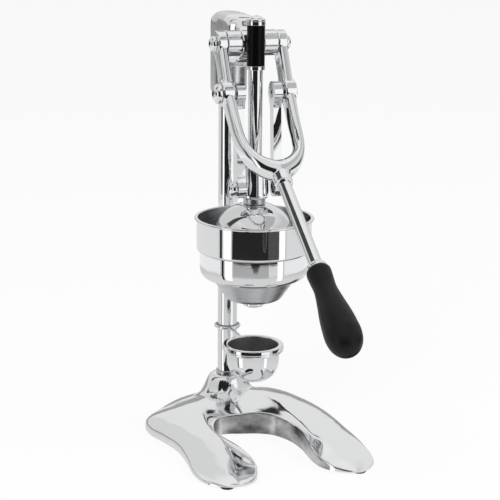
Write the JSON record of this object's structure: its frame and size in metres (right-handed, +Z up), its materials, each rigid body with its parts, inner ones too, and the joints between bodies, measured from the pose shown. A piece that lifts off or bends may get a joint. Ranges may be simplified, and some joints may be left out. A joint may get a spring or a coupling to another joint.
{
  "type": "citrus juice press",
  "caption": "Hand lever citrus press: cast horseshoe base, column, guided plunger with bell, strainer bowl and drip cup.",
  "frame": {"origin": "on the ground, under the middle of the press's box", "axes": "+Z up along the column, -Y towards the user and the lever's grip, +X to the right seen from the user"},
  "size_m": [0.2128, 0.419, 0.4689],
  "materials": {
    "polished_casting": "mirror-polished casting",
    "chrome": "bright chrome plate",
    "stainless": "polished outside, spun inside",
    "plain_steel": "plain steel",
    "foot_rubber": "matte",
    "black_grip": "satin moulded",
    "black_band": "gloss film"
  },
  "bodies": {
    "stand": {"base": "polished_casting", "foot_front_left": "foot_rubber", "foot_front_right": "foot_rubber", "foot_rear_left": "foot_rubber", "foot_rear_right": "foot_rubber", "column": "chrome", "column_washer": "plain_steel", "column_bolt": "plain_steel", "column_ring": "plain_steel", "head": "polished_casting", "guide_sleeve": "chrome", "sleeve_band": "black_band", "head_screw": "plain_steel", "pivot_shaft": "plain_steel", "pivot_spacer_left": "polished_casting", "pivot_nut_left": "chrome", "pivot_spacer_right": "polished_casting", "pivot_nut_right": "chrome", "funnel_holder": "stainless", "holder_screw": "plain_steel", "strainer_bowl": "stainless", "reamer": "stainless"},
    "lever": {"fork": "chrome", "lever_rod": "chrome", "ferrule": "chrome", "grip": "black_grip", "link_bolt_left": "chrome", "link_bolt_right": "plain_steel", "link_spacer_left": "plain_steel", "link_spacer_right": "plain_steel"},
    "left_link": {"link_left": "chrome", "link_pin_left": "chrome"},
    "right_link": {"link_right": "chrome", "link_pin_right": "chrome"},
    "plunger": {"plunger_rod": "chrome", "rod_cap": "chrome", "crosshead": "chrome", "neck_ring": "plain_steel", "press_bell": "stainless", "bell_nut": "plain_steel"},
    "cup_holder": {"cup_holder": "chrome"},
    "drip_cup": {"drip_cup": "stainless"}
  },
  "joints": [
    {"name": "lever_pivot", "type": "hinge", "parent": "stand", "child": "lever", "pos_m": [0.00742, 0.09749, 0.43805], "axis": [-1, 0, 0], "range_deg": [0, 95]},
    {"name": "plunger_slide", "type": "slide", "parent": "stand", "child": "plunger", "axis": [0, 0, 1], "range_m": [0, 0.0845]},
    {"name": "left_link_pivot", "type": "hinge", "parent": "lever", "child": "left_link", "pos_m": [0.00742, 0.07144, 0.38802], "axis": [-1, 0, 0], "range_deg": [-108, 0]},
    {"name": "right_link_pivot", "type": "hinge", "parent": "lever", "child": "right_link", "pos_m": [0.00742, 0.07144, 0.38802], "axis": [-1, 0, 0], "range_deg": [-108, 0]},
    {"name": "cup_swivel", "type": "hinge", "parent": "stand", "child": "cup_holder", "pos_m": [0.00742, 0.17349, 0.1], "axis": [0, 0, 1], "range_deg": [-90, 90]},
    {"name": "cup_lift", "type": "slide", "parent": "cup_holder", "child": "drip_cup", "axis": [0, 0, 1], "range_m": [0, 0.042]}
  ],
  "couplings": [
    {"joint": "plunger_slide", "follows": "lever_pivot", "m_per_rad": 0.050626},
    {"joint": "left_link_pivot", "follows": "lever_pivot", "ratio": -1.129},
    {"joint": "right_link_pivot", "follows": "lever_pivot", "ratio": -1.129}
  ]
}
